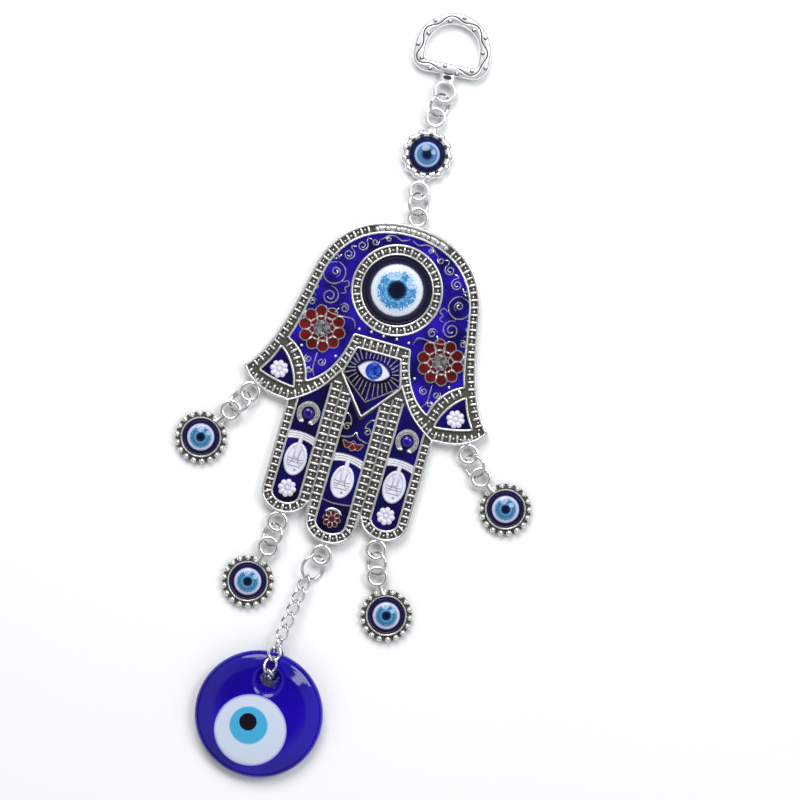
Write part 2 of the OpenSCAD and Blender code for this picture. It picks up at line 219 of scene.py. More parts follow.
def skin(rows, cols, wrap_rows, wrap_cols):
    """Faces of a sheet of rows x cols points."""
    faces = []
    for i in range(rows if wrap_rows else rows - 1):
        for j in range(cols if wrap_cols else cols - 1):
            i2 = (i + 1) % rows
            j2 = (j + 1) % cols
            faces.append((i * cols + j, i2 * cols + j, i2 * cols + j2, i * cols + j2))
    return faces


def new_object(name, data):
    """An object in the scene that holds the data."""
    made = bpy.data.objects.new(name, data)
    bpy.context.scene.collection.objects.link(made)
    return made


class Shape:
    """Points in millimetres and faces, with how dark the silver's tarnish is at each point, from
    0 where it is rubbed bright to 1 in a recess."""

    def __init__(self):
        self.points = []
        self.faces = []
        self.tarnish = []
        self.count = 0

    def add(self, points, faces, tarnish=0.0):
        points = np.asarray(points, float)
        self.points.append(points)
        self.faces += [tuple(k + self.count for k in f) for f in faces]
        self.tarnish.append(np.broadcast_to(tarnish, len(points)))
        self.count += len(points)
        return self

    def sweep(self, path, section, closed=True, tarnish=0.0, z=0.0, scale=None):
        """A closed section of (left, up) points swept along a flat path at level z, where scale
        holds the section's size at each point of the path."""
        section = np.asarray(section, float)
        n, m = len(path), len(section)
        scale = np.ones(n) if scale is None else scale
        across = section[None, :, :1] * scale[:, None, None]
        xy = path[:, None, :] + left_of(path, closed)[:, None, :] * across
        up = z + section[None, :, 1:] * scale[:, None, None]
        points = np.concatenate([xy, up], axis=2).reshape(-1, 3)
        faces = skin(n, m, closed, True)
        if not closed:
            faces += [tuple(range(m))[::-1], tuple(range((n - 1) * m, n * m))]
        return self.add(points, faces, np.tile(np.broadcast_to(tarnish, m), n))

    def wire(self, path, r, z, up=1.0, closed=False, sides=8, low=0.9, taper=False, top=0.0):
        """A raised line with a round back, from a tube whose middle is at level z. low and top
        are the tarnish of its lower and upper parts."""
        path = np.asarray(path, float)
        section = round_about(sides, 0.5) * [r, r * up]
        dark = np.where(section[:, 1] < -0.1 * r * up, low, top)
        n = len(path)
        to_end = np.minimum(np.arange(n), n - 1 - np.arange(n)) / n
        scale = np.minimum(1, 0.35 + 4 * to_end) if taper else None
        return self.sweep(path, section, closed, dark, z, scale)

    def lathe(self, profile, steps=72, centre=(0, 0), tarnish=0.0):
        """A profile of (radius, height) points turned about an upright axis."""
        profile = np.asarray(profile, float)
        xy = profile[:, None, :1] * round_about(steps) + np.array(centre)
        z = np.broadcast_to(profile[:, None, 1:], (len(profile), steps, 1))
        points = np.concatenate([xy, z], axis=2).reshape(-1, 3)
        dark = np.repeat(np.broadcast_to(tarnish, len(profile)), steps)
        return self.add(points, [f[::-1] for f in skin(len(profile), steps, False, True)], dark)

    def bead(self, centre, radii, angle, rings, steps, low, dark_low=1.0, square=1.0, top=0.0):
        """An ellipsoid boss, flat below the latitude low, where it is sunk in its base. dark_low
        and top are its tarnish low down and at least, and square under 1 makes a cushion of it."""
        lat = np.radians(np.linspace(low, 90, rings))
        lon = bearings(steps)
        x = radii[0] * full(np.cos(lat), square)[:, None] * full(np.cos(lon), square)
        y = radii[1] * full(np.cos(lat), square)[:, None] * full(np.sin(lon), square)
        z = radii[2] * np.broadcast_to(full(np.sin(lat), square)[:, None], x.shape)
        c, s = math.cos(math.radians(angle)), math.sin(math.radians(angle))
        points = np.stack([centre[0] + c * x - s * y, centre[1] + s * x + c * y, centre[2] + z], 2)
        dark = np.repeat(np.clip(dark_low * (0.5 - np.sin(lat)), top, 1), steps)
        faces = skin(rings, steps, False, True)
        return self.add(points.reshape(-1, 3), faces + [tuple(range(steps))[::-1]], dark)

    def slab(self, outline, low, high, tarnish=0.0):
        """A closed outline between two levels."""
        n = len(outline)
        points = np.vstack([at_level(outline, low), at_level(outline, high)])
        ring = [(i, (i + 1) % n, (i + 1) % n + n, i + n) for i in range(n)]
        return self.add(points, ring + [tuple(range(n))[::-1], tuple(range(n, 2 * n))], tarnish)

    def mesh(self, name):
        points = np.vstack(self.points) * MM
        mesh = bpy.data.meshes.new(name)
        mesh.from_pydata(points.tolist(), [], self.faces)
        mesh.validate()
        dark = mesh.attributes.new("tarnish", "FLOAT", "POINT")
        dark.data.foreach_set("value", np.concatenate(self.tarnish).astype(np.float32))
        return mesh

    def piece(self, name, material, body, slot, replaces=(), place=None, sharp=50, turned=None):
        """Makes the object, rides it on its body and hides the CAD nodes that it stands for.
        place becomes the object's own frame, and turned moves its mesh instead."""
        mesh = self.mesh(name)
        piece = new_object(name, mesh)
        if place is not None:
            piece.matrix_world = place
        if turned is not None:
            mesh.transform(turned)
        mesh.materials.append(material)
        finish_normals(mesh, sharp)
        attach(piece, body)
        if replaces:
            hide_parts(*replaces)
        return piece


def finish_normals(mesh, sharp):
    """Outward faces, smooth but for edges sharper than an angle in degrees."""
    work = bmesh.new()
    work.from_mesh(mesh)
    bmesh.ops.remove_doubles(work, verts=work.verts, dist=1e-7)
    bmesh.ops.recalc_face_normals(work, faces=work.faces)
    for face in work.faces:
        face.smooth = True
    for edge in work.edges:
        if len(edge.link_faces) == 2:
            edge.smooth = edge.calc_face_angle(0) < math.radians(sharp)
    work.to_mesh(mesh)
    work.free()


def dark_line(shape, path, r, z, up, closed=False):
    """A thin line that is dark all over. Beside a bead it is a painted shadow, a crescent below the
    bead.
    """
    shape.wire(path, r, z, up, closed, 6, 1, not closed, 1)


# --- materials


class Nodes:
    """Short calls that build a material's nodes."""

    def __init__(self, name):
        self.material = bpy.data.materials.new(name)
        self.material.use_nodes = True
        self.tree = self.material.node_tree
        self.shader = self.tree.nodes["Principled BSDF"]

    def new(self, kind, **inputs):
        node = self.tree.nodes.new(kind)
        for key, value in inputs.items():
            node.inputs[key].default_value = value
        return node

    def link(self, a, b):
        self.tree.links.new(a, b)

    def set(self, **values):
        for key, value in values.items():
            self.shader.inputs[key.replace("_", " ")].default_value = value

    def place(self):
        return self.new("ShaderNodeTexCoord").outputs["Object"]

    def noise(self, scale, detail=3.0, rough=0.5):
        node = self.new("ShaderNodeTexNoise", Scale=scale, Detail=detail, Roughness=rough)
        self.link(self.place(), node.inputs["Vector"])
        return node.outputs["Fac"]

    def from_axis(self, x, y):
        """Distance from an upright line at a point in millimetres, in metres."""
        socket = self.place()
        for kind, by in (("SUBTRACT", (x * MM, y * MM, 0)), ("MULTIPLY", (1, 1, 0)), ("LENGTH", None)):
            node = self.new("ShaderNodeVectorMath")
            node.operation = kind
            self.link(socket, node.inputs[0])
            if by:
                node.inputs[1].default_value = by
            socket = node.outputs["Value" if kind == "LENGTH" else "Vector"]
        return socket

    def math(self, kind, a, b=0.0, clamp=False):
        node = self.new("ShaderNodeMath")
        node.operation = kind
        node.use_clamp = clamp
        for socket, value in zip(node.inputs, (a, b)):
            if isinstance(value, (int, float)):
                socket.default_value = value
            else:
                self.link(value, socket)
        return node.outputs[0]

    def ramp(self, fac, stops):
        node = self.new("ShaderNodeValToRGB")
        while len(node.color_ramp.elements) < len(stops):
            node.color_ramp.elements.new(0.5)
        for element, (at, colour) in zip(node.color_ramp.elements, stops):
            element.position = at
            element.color = (*colour, 1)
        self.link(fac, node.inputs["Fac"])
        return node.outputs["Color"]

    def bump(self, height, depth, strength=0.5):
        node = self.new("ShaderNodeBump", Strength=strength, Distance=depth)
        self.link(height, node.inputs["Height"])
        self.link(node.outputs["Normal"], self.shader.inputs["Normal"])

    def colour(self, socket):
        self.link(socket, self.shader.inputs["Base Color"])

    def rough(self, fac, low, high):
        node = self.new("ShaderNodeMapRange")
        node.inputs["To Min"].default_value = low
        node.inputs["To Max"].default_value = high
        self.link(fac, node.inputs["Value"])
        self.link(node.outputs["Result"], self.shader.inputs["Roughness"])


def silver(name, bright, dark, grain, rough):
    """Antique silver plate: bright where it is rubbed, dark in its recesses."""
    m = Nodes(name)
    m.set(Specular_IOR_Level=0.25)
    tarnish = m.new("ShaderNodeAttribute")
    tarnish.attribute_name = "tarnish"
    cloud = m.noise(900, 4, 0.6)
    uneven = m.math("MULTIPLY", m.math("SUBTRACT", cloud, 0.5), grain)
    mask = m.math("ADD", tarnish.outputs["Fac"], uneven, clamp=True)
    mid = tuple(0.35 * b + 0.65 * d for b, d in zip(bright, dark))
    m.colour(m.ramp(mask, [(0.12, bright), (0.5, mid), (0.85, dark)]))
    m.rough(mask, *rough)
    m.link(m.math("SUBTRACT", 1.0, m.math("MULTIPLY", mask, 0.85)), m.shader.inputs["Metallic"])
    m.bump(m.noise(2600, 3, 0.55), 4e-5, 0.35)
    return m.material


def enamel(name, deep, bright):
    """Poured enamel: glossy, a little uneven in level and in depth of colour."""
    m = Nodes(name)
    m.set(Coat_Weight=0.3, Coat_Roughness=0.04, IOR=1.45)
    cloud = m.noise(140, 2, 0.5)
    m.colour(m.ramp(cloud, [(0.38, deep), (0.7, bright)]))
    m.rough(m.noise(700, 3), 0.06, 0.16)
    m.bump(m.noise(420, 2, 0.4), 2.5e-4, 0.5)
    return m.material


def printed_eye(name, radius, rings, speckle):
    """A domed eye with its printed rings. rings are (share of the radius, colour), and speckle
    is how far the iris's flecks reach, as a share of the radius."""
    m = Nodes(name)
    m.set(Roughness=0.05, Coat_Weight=0.25, Coat_Roughness=0.02, IOR=1.45)
    share = m.math("DIVIDE", m.from_axis(0, 0), radius * MM)
    fleck = m.math("SUBTRACT", m.noise(1700 * HAND_EYE_R / radius, 2, 0.7), 0.5)
    near = m.math("SUBTRACT", 1.0, m.math("ABSOLUTE", m.math("SUBTRACT", share, 0.46)))
    near = m.math("POWER", m.math("MAXIMUM", near, 0.0), 9.0)
    shift = m.math("MULTIPLY", m.math("MULTIPLY", fleck, speckle), near)
    m.colour(m.ramp(m.math("ADD", share, shift, clamp=True), rings))
    return m.material


def glass(name, colour, deep, through):
    """Coloured glass, which lets a share of the light through."""
    m = Nodes(name)
    m.set(Transmission_Weight=through, IOR=1.45, Specular_IOR_Level=0.4)
    m.colour(m.ramp(m.noise(70, 2, 0.45), [(0.3, deep), (0.7, colour)]))
    m.rough(m.noise(300, 2), 0.03, 0.06)
    m.bump(m.noise(110, 2, 0.4), 2e-4, 0.35)
    return m.material


def disc_glass(name, centre, radius, inside, edge):
    """A coloured layer of the glass eye, which bleeds a little at its edge."""
    m = Nodes(name)
    m.set(Roughness=0.05, Coat_Weight=0.3, Coat_Roughness=0.02, IOR=1.45)
    share = m.math("DIVIDE", m.from_axis(*centre), radius * MM)
    wobble = m.math("MULTIPLY", m.math("SUBTRACT", m.noise(260, 2), 0.5), 0.05)
    m.colour(m.ramp(m.math("ADD", share, wobble, clamp=True),
                    [(0.0, inside), (0.93, inside), (1.0, edge)]))
    m.bump(m.noise(110, 2, 0.4), 2e-4, 0.3)
    return m.material


cast_silver = silver("antique_silver", (0.9, 0.9, 0.9), (0.07, 0.066, 0.056), 0.35, (0.26, 0.6))
wire_silver = silver("ring_silver", (0.78, 0.78, 0.79), (0.2, 0.2, 0.22), 0.4, (0.12, 0.3))
hanger_silver = silver("hanger_silver", (0.95, 0.95, 0.96), (0.04, 0.04, 0.045), 0.2, (0.32, 0.6))
navy_enamel = enamel("navy_enamel", (0.004, 0.002, 0.075), (0.022, 0.007, 0.42))
dark_enamel = enamel("dark_navy_enamel", (0.0015, 0.0008, 0.012), (0.007, 0.003, 0.14))
red_enamel = enamel("red_enamel", (0.075, 0.004, 0.005), (0.17, 0.01, 0.012))
white_enamel = enamel("white_enamel", (0.68, 0.68, 0.82), (0.80, 0.80, 0.90))
# Printed rings from the middle outwards: share of the radius, colour
EYE_RINGS = [
    (0.0, (0.003, 0.004, 0.012)),
    (0.235, (0.004, 0.008, 0.03)),
    (0.29, (0.02, 0.16, 0.42)),
    (0.335, (0.22, 0.56, 0.78)),
    (0.39, (0.015, 0.20, 0.52)),
    (0.53, (0.012, 0.16, 0.46)),
    (0.575, (0.45, 0.68, 0.84)),
    (0.66, (0.76, 0.79, 0.89)),
    (0.735, (0.70, 0.73, 0.86)),
    (0.775, (0.006, 0.006, 0.035)),
    (1.0, (0.004, 0.004, 0.022)),
]
CHARM_RINGS = [
    (0.0, (0.003, 0.004, 0.014)),
    (0.20, (0.004, 0.008, 0.03)),
    (0.26, (0.02, 0.12, 0.32)),
    (0.31, (0.12, 0.40, 0.60)),
    (0.37, (0.010, 0.11, 0.28)),
    (0.52, (0.014, 0.16, 0.36)),
    (0.59, (0.22, 0.42, 0.62)),
    (0.655, (0.64, 0.65, 0.82)),
    (0.715, (0.48, 0.48, 0.70)),
    (0.755, (0.008, 0.005, 0.06)),
    (1.0, (0.005, 0.003, 0.04)),
]
CONNECTOR_RINGS = [
    (0.0, (0.003, 0.006, 0.03)),
    (0.24, (0.005, 0.01, 0.06)),
    (0.33, (0.03, 0.12, 0.30)),
    (0.45, (0.07, 0.20, 0.42)),
    (0.57, (0.05, 0.16, 0.36)),
    (0.65, (0.42, 0.58, 0.80)),
    (0.70, (0.30, 0.42, 0.70)),
    (0.755, (0.005, 0.008, 0.09)),
    (1.0, (0.004, 0.008, 0.08)),
]


# --- cast loops


LOOP_R = 2.4
LOOP_WIDTH = 1.2
LOOP_THICKNESS = 1.0
NECK_START = 2.2
SECTION_SIDES = 12


def add_loop(shape, centre, mean_r=LOOP_R):
    """A cast loop: a flat ring with well rounded edges."""
    steps = 40
    section = full(round_about(SECTION_SIDES), 0.65) * [LOOP_WIDTH / 2, LOOP_THICKNESS / 2]
    u, v = section.T
    xy = centre + round_about(steps)[:, None] * (mean_r + u)[None, :, None]
    z = LOOP_Z + np.broadcast_to(v, (steps, SECTION_SIDES))
    points = np.concatenate([xy, z[:, :, None]], 2).reshape(-1, 3)
    dark = np.where(v < -0.1, 0.6, np.where(np.abs(u) > LOOP_WIDTH * 0.48, 0.25, 0.0))
    shape.add(points, skin(steps, SECTION_SIDES, True, True), np.tile(dark, steps))


def add_neck(shape, start, end, width):
    """A rounded bridge between a loop and what it belongs to, narrowest at its middle."""
    start, end = np.array(start, float), np.array(end, float)
    steps = 7
    t = np.linspace(0, 1, steps)
    path = start + (end - start) * t[:, None]
    d = (end - start) / np.linalg.norm(end - start)
    side = np.array([-d[1], d[0]])
    half = width / 2 * (0.85 + 0.55 * (2 * t - 1) ** 2)
    c, s = round_about(SECTION_SIDES).T
    xy = path[:, None, :] + side * (c * half[:, None])[:, :, None]
    z = LOOP_Z + np.broadcast_to(s * LOOP_THICKNESS / 2, (steps, SECTION_SIDES))
    points = np.concatenate([xy, z[:, :, None]], 2).reshape(-1, 3)
    n = steps * SECTION_SIDES
    ends = [tuple(range(SECTION_SIDES))[::-1], tuple(range(n - SECTION_SIDES, n))]
    faces = skin(steps, SECTION_SIDES, False, True) + ends
    shape.add(points, faces, np.tile(np.where(bearings(SECTION_SIDES) > np.pi, 0.6, 0.05), steps))


# --- hand


# Outlines and cells of the hand. A half is the right one, from the top down.
FINGER_X = 14
SHOULDER = (23.3, 28)
THUMB_TIP = (34.6, -3.9)
FINGER_END = -34.5
MIDDLE_END = -39
hand = both_sides(np.vstack([
    curve((0, 45), (11.5, 45), (20.5, 39.5), SHOULDER, 30),
    curve(SHOULDER, (25.2, 20), (27.2, 3.2), THUMB_TIP, 30),
    curve(THUMB_TIP, (32.5, -7.8), (28, -10.4), (20.8, -10.2), 16),
    line((20.8, -10.2)),
    arc((FINGER_X, FINGER_END), 6.8, 5.7, 0, -180, 28),
    arc((0, MIDDLE_END), 7.2, 6, 0, -88, 20),
]))
palm = both_sides(np.vstack([
    curve((0.01, 42.2), (10.2, 42.2), (18, 37), (20.5, 27.5), 26),
    curve((20.5, 27.5), (22.2, 19.5), (23.4, 10), (25, 6.4), 16),
    curve((25, 6.4), (21, 4.6), (18, 1), (17.2, -3.8), 14),
    curve((17.2, -3.8), (12.4, -1.5), (9, 4), (7.9, 12.2), 14),
    line((7.9, 12.2)),
]))
thumb_cell = np.vstack([
    curve((26.2, 3.8), (27, 1), (28.4, -1.8), (30.2, -4.1), 10),
    curve((30.2, -4.1), (27.4, -5.3), (24, -6), (19.8, -6.3), 10),
    curve((19.8, -6.3), (20.4, -2.8), (22.4, 1.2), (26.2, 3.8), 12),
])
eye_panel = both_sides(line((6.2, 9), (8.3, 1.2), (0.01, -9)))
finger_cell = np.vstack([
    line((10.1, -2.4), (17.9, -8.8)),
    arc((FINGER_X, FINGER_END), 3.9, 2.9, 0, -180, 24),
])
middle_cell = np.vstack([
    line((-4.3, -4.9), (0, -10.2), (4.3, -4.9)),
    arc((0, MIDDLE_END), 4.3, 3.2, 0, -180, 24),
])
upper_cells = [palm, thumb_cell, mirrored(thumb_cell), eye_panel]
BIG_EYE = middle("eye_cabochon")[:2]
FLOWER = middle("right_flower_stone")[:2]
ALMOND = middle("eye_stone")[:2]
EYE_SEAT_R = 9.6
EYE_BAND_R = 12.3
BAR_PITCH = 2.07


def hand_base():
    """The casting's body: the outline's slab with the enamel's cells sunk in it."""
    outline = resample(hand, 0.8, True)
    base = Shape().slab(outline - left_of(outline, True) * 0.45, 0.0, BAND_FLOOR)
    cutters = Shape()
    for cell in (*upper_cells, finger_cell, mirrored(finger_cell), middle_cell):
        cutters.slab(resample(cell, 0.9, True), ENAMEL_LOW - 0.02, 5)
    island = Shape().slab(circle(BIG_EYE, EYE_BAND_R, 72), 0.5, BAND_FLOOR)
    seat = Shape().slab(circle(BIG_EYE, EYE_SEAT_R, 72), ENAMEL_LOW - 0.02, 5)
    made = {}
    for name, shape in (("base", base), ("cells", cutters), ("island", island), ("seat", seat)):
        mesh = shape.mesh(name)
        finish_normals(mesh, 30)
        made[name] = new_object(name, mesh)
    for name, kind in (("cells", "DIFFERENCE"), ("island", "UNION"), ("seat", "DIFFERENCE")):
        change = made["base"].modifiers.new(name, "BOOLEAN")
        change.operation = kind
        change.object = made[name]
        change.solver = "EXACT"
    view = bpy.context.evaluated_depsgraph_get()
    solid = made["base"].evaluated_get(view).to_mesh()
    points = np.array([v.co for v in solid.vertices]) / MM
    faces = [tuple(p.vertices) for p in solid.polygons]
    for o in made.values():
        bpy.data.objects.remove(o)
    return points, faces


def edge_line(shape, outline, closed=True, r=0.33):
    """A thin bright raised line, with upright sides that go down to the band's floor."""
    low, top = BAND_FLOOR - 0.3, RIM_TOP
    section = [(-r, low), (-r, top - 0.3), (-0.62 * r, top - 0.08), (0, top),
               (0.62 * r, top - 0.08), (r, top - 0.3), (r, low)]
    shape.sweep(outline, section, closed, [1, 0.35, 0, 0, 0, 0.35, 1])


def bars(shape, path, half_width, closed=False):
    """The row of small ribs across a band, with a dark pit and its boss after each of them."""
    if closed:
        at = resample(path, BAR_PITCH, True)
    else:
        s = lengths(path)
        first, last = 0.5, s[-1] - 0.5
        count = max(2, round((last - first) / BAR_PITCH) + 1)
        where = np.linspace(first, last, count)
        at = np.column_stack([np.interp(where, s, path[:, k]) for k in range(2)])
    for p, d in zip(at, directions(at, closed)):
        angle = math.degrees(math.atan2(d[1], d[0]))
        height = RIM_TOP - BAND_FLOOR - 0.08 + rng.uniform(-0.06, 0.03)
        length = 0.36 + rng.uniform(-0.04, 0.04)
        rib = (length, half_width + 0.15, height)
        shape.bead((*p, BAND_FLOOR), rib, angle, 7, 14, -20, 0.4, 0.6)
        across = np.array([-d[1], d[0]]) * rng.uniform(-0.35, 0.35)
        pit = p + d * BAR_PITCH / 2 + across
        shape.bead((*pit, BAND_FLOOR), (0.34, 0.34, 0.36), angle, 6, 10, -10)


def hand_bands(shape):
    """Edge lines and rows of ribs along the casting's bands."""
    # raised outer edge, which is the side wall too
    wall = [(0.0, 0.35), (-0.3, 0.0), (-0.85, 0.0), (-0.85, RIM_TOP - 0.4),
            (-0.7, RIM_TOP - 0.1), (-0.42, RIM_TOP), (-0.14, RIM_TOP - 0.12), (0, RIM_TOP - 0.45)]
    shape.sweep(resample(hand, 0.8, True), wall, True, [0.2, 0.3, 1, 0.5, 0, 0, 0, 0.1])
    for cell in upper_cells:
        edge_line(shape, resample(cell, 0.7, True))
    finger_edge = np.vstack([finger_cell[1:], finger_cell[:1]])
    middle_edge = np.vstack([middle_cell[2:], middle_cell[:1]])
    for edge in (finger_edge, mirrored(finger_edge), middle_edge):
        edge_line(shape, resample(edge, 0.7), False)
    edge_line(shape, circle(BIG_EYE, EYE_BAND_R, 72))
    edge_line(shape, circle(BIG_EYE, EYE_SEAT_R + 0.25, 72), r=0.3)
    bars(shape, circle(BIG_EYE, (EYE_BAND_R + EYE_SEAT_R) / 2 + 0.1, 90), 0.82, True)
    # outer band: from thumb tip to thumb tip over the dome, with round beads on its crown
    dome = np.vstack([
        curve((0, 43.35), (10.6, 43.35), (19.1, 38.0), (21.75, 27.7), 30),
        curve((21.75, 27.7), (23.7, 19.5), (25.1, 5.2), (32.6, -4.0), 30),
    ])
    side_band = dome[dome[:, 0] >= 11.2]
    for flip in (1, -1):
        bars(shape, side_band * [flip, 1], 0.95)
    crown = dome[dome[:, 0] < 10.6]
    crown = np.vstack([(crown * [-1, 1])[:0:-1], crown])
    strip = line((-0.9, 0), (0.9, 0), (0.75, 0.16), (-0.75, 0.16)) + [0, BAND_FLOOR]
    shape.sweep(resample(crown, 1.0), strip, False, 0.3)
    for p in resample(crown, 2.75):
        shape.bead((*p, BAND_FLOOR + 0.3), (0.8, 0.68, 0.66), 0, 8, 14, -30, 1.2)
        # painted shadow: a dark crescent just below each bead
        dark_line(shape, arc(p - [0, 0.1], 0.8, 0.68, 180, 360, 14), 0.2, BAND_FLOOR + 0.18, 0.6)
    # along the thumb's lower edge, on up the palm's lower boundary and beside the eye panel
    lower = np.vstack([
        curve((32.9, -5.0), (29.6, -7.4), (25, -8.3), (20.6, -8.3), 12),
        curve((20.6, -8.3), (14.6, -6.6), (9.4, 1.6), (7.2, 8.4), 26),
        line((6.95, 10.6)),
    ])
    # middle lines and half widths of the other bands on one side
    paths = [
        (lower, 0.95),
        (curve((24.6, 4.9), (21.4, 3.0), (19.2, -0.6), (18.5, -5.8), 14), 0.95),
        (line((19.15, -11.4), (19.15, FINGER_END)), 1.0),
        (arc((FINGER_X, FINGER_END), 5.1, 4.05, -6, -150, 26), 0.95),
        (line((8.63, -1.2), (8.63, FINGER_END - 1.2)), 1.15),
        (line((5.8, -3.6), (5.8, MIDDLE_END)), 1.2),
    ]
    border = smooth([(20.8, -10.2), (17, -7.9), (13.1, -4.6), (10.3, -0.8), (8.4, 2.2)])
    for flip in (1, -1):
        for path, half_width in paths:
            bars(shape, path * [flip, 1], half_width)
        divide = line((7.22, -2.2), (7.22, -38.4)) * [flip, 1]
        edge_line(shape, resample(divide, 1.5), False, 0.25)
        edge_line(shape, border * [flip, 1], False, 0.3)
    bars(shape, line((5.2, 10.6), (-5.2, 10.6)), 1.2)
    bars(shape, arc((0, MIDDLE_END), 5.5, 4.35, -6, -174, 26), 0.95)


def hand_loops(shape):
    """The casting's six loops and their short necks."""
    top = (joint_at("hand_swing") * 2 - joint_at("lower_ring_swing"))[:2]
    foot = joint_at("chain_ring_swing")[:2]
    thumbs = [joint_at(side + "_thumb_ring_swing")[:2] for side in ("left", "right")]
    fingers = [joint_at(side + "_finger_ring_swing")[:2] for side in ("left", "right")]
    for at in (top, *thumbs, *fingers, foot):
        add_loop(shape, at)
    add_neck(shape, foot + [0, NECK_START], (0, -44.2), 2.4)
    add_neck(shape, top - [0, NECK_START], (0, 44.2), 3.6)
    for at, inwards in zip(thumbs, (1, -1)):
        add_neck(shape, at + [inwards * 0.9, NECK_START], at + [inwards * 1.6, 3.9], 2.8)
    for at in fingers:
        add_neck(shape, at + [0, NECK_START], at + [0, 3.4], 2.8)


# Scrolls of the palm's right half: centre, outer and inner radius, bearing of the outer end
# and turns inwards, which are negative for a clockwise scroll
SCROLLS = [
    ((5.9, 39.7), 0.8, 0.3, 60, -1.2),
    ((9.3, 37.9), 1.05, 0.35, 150, 1.2),
    ((12.4, 36.0), 1.65, 0.4, 120, 1.5),
    ((15.3, 32.7), 1.8, 0.4, 100, 1.6),
    ((18.5, 31.0), 0.9, 0.3, 200, -1.1),
    ((17.8, 26.8), 3.2, 2.9, 90, 1.0),
    ((17.5, 27.2), 1.5, 0.4, 250, -1.4),
    ((17.2, 20.4), 2.75, 0.6, 80, 1.7),
    ((12.4, 18.2), 1.45, 0.35, 20, 1.5),
    ((21.3, 17.6), 1.15, 0.3, 140, -1.4),
    ((18.2, 2.3), 1.2, 0.3, 60, -1.4),
    ((14.5, 2.4), 1.3, 0.3, 120, 1.4),
    ((17.0, -0.6), 0.9, 0.3, 90, -1.2),
]
# Lines that join the scrolls
STEMS = [
    ((0.4, 41.0), (2.4, 40.2), (4.4, 40.9), (6.2, 40.6), (7.2, 39.6), (8.4, 38.6)),
    ((10.3, 38.3), (11.4, 38.4), (11.6, 37.4)),
    ((13.9, 35.3), (15.1, 35.0), (15.0, 34.4)),
    ((17.1, 32.2), (17.6, 31.4)),
    ((14.9, 24.9), (13.6, 25.6), (12.9, 24.4), (13.9, 23.6), (13.3, 22.4), (14.6, 21.8)),
    ((20.6, 24.3), (21.7, 22.8), (20.9, 21.8), (22.0, 20.6), (20.9, 19.4)),
    ((17.6, 17.5), (15.9, 16.0), (12.6, 15.9), (9.6, 16.0), (8.6, 15.0), (8.2, 13.6)),
    ((13.9, 17.9), (14.7, 16.3)),
    ((22.4, 16.9), (22.7, 14.8), (22.4, 12.4)),
    ((16.3, 4.5), (16.3, 2.0), (16.2, -0.2), (15.2, -2.0)),
]
DOTS = [(7.0, 13.9), (3.6, 14.0), (-0.1, 13.8), (11.2, 5.0), (20.9, 5.3)]


def relief_line(shape, path, r=0.25, closed=False, taper=True):
    """A cast line that stands out of the enamel."""
    shape.wire(path, r, ENAMEL_TOP + 0.03, 1.3, closed, 8, 0.5, taper and not closed)


def relief_loop(shape, outline, step, r):
    """A cast line all along a closed outline."""
    relief_line(shape, resample(outline, step, True), r, True)


def palm_scrolls(shape):
    """The scrolls, their stems and the small dots of the palm."""
    for flip in (1, -1):
        for centre, r_out, r_in, start, turns in SCROLLS:
            relief_line(shape, spiral(centre, r_out, r_in, start, turns) * [flip, 1])
        for stem in STEMS:
            relief_line(shape, smooth(stem) * [flip, 1])
        for x, y in DOTS:
            if flip == 1 or x > 0:
                shape.bead((flip * x, y, ENAMEL_TOP), (0.45, 0.45, 0.4), 0, 5, 10, -10)


def petal(centre, bearing, r_in, r_out, half_angle):
    """The outline of a rounded petal that spreads from r_in to r_out about a bearing."""
    half = math.radians(half_angle)
    a = np.linspace(-half, half, 9)
    r = r_out - (a / half) ** 2 * (r_out - r_in) * 0.38
    a = np.append(a, [half * 0.75, -half * 0.75]) + math.radians(bearing)
    r = np.append(r, [r_in, r_in])
    return np.column_stack([r * np.cos(a), r * np.sin(a)]) + centre


def big_flowers(shape):
    """Outlines of the red flowers' ten petals and of the inner petals about the stone."""
    for flip in (1, -1):
        centre = FLOWER * [flip, 1]
        for i in range(10):
            relief_loop(shape, petal(centre, 36 * i, 3.3, 6.45, 18), 0.45, 0.22)
        for i in range(8):
            relief_loop(shape, petal(centre, 45 * i + 20, 2.2, 3.6, 21), 0.4, 0.16)


def eye_panel_relief(shape):
    """The small eye's almond outline, the rays round it and the chevron below them."""
    half_length, half_height = 4.5, 2.6
    bow_r = (half_length**2 + half_height**2) / (2 * half_height)
    reach = math.degrees(math.asin(half_length / bow_r))
    drop = [0, bow_r - half_height]
    top = arc(ALMOND - drop, bow_r, bow_r, 90 - reach, 90 + reach, 18)
    bottom = arc(ALMOND + drop, bow_r, bow_r, 270 - reach, 270 + reach, 18)
    relief_loop(shape, np.vstack([top, bottom[1:-1]]), 0.5, 0.2)
    chevron = line((7.6, 0.9), (0, -4.9), (-7.6, 0.9))
    relief_line(shape, resample(chevron, 0.8), 0.24, taper=False)
    border = line((6.2, 9), (8.3, 1.2), (0, -4.9), (-8.3, 1.2), (-6.2, 9))
    for d in round_about(30, 0.5):
        start = ALMOND + d * [4.5, 2.9] * 1.13
        end = ALMOND + d * (reach_to(border, ALMOND, d) - 0.55)
        if np.dot(end - start, d) > 0.4:
            relief_line(shape, np.linspace(start, end, 5), 0.22, taper=False)


def reach_to(outline, start, d):
    """How far a ray from inside an outline runs before it meets it."""
    nearest = 1e9
    for p, q in zip(outline, np.roll(outline, -1, axis=0)):
        e = q - p
        cross = d[0] * e[1] - d[1] * e[0]
        if abs(cross) < 1e-9:
            continue
        w = p - start
        t = (w[0] * e[1] - w[1] * e[0]) / cross
        u = (w[0] * d[1] - w[1] * d[0]) / cross
        if t > 0 and -1e-6 <= u <= 1 + 1e-6:
            nearest = min(nearest, t)
    return nearest


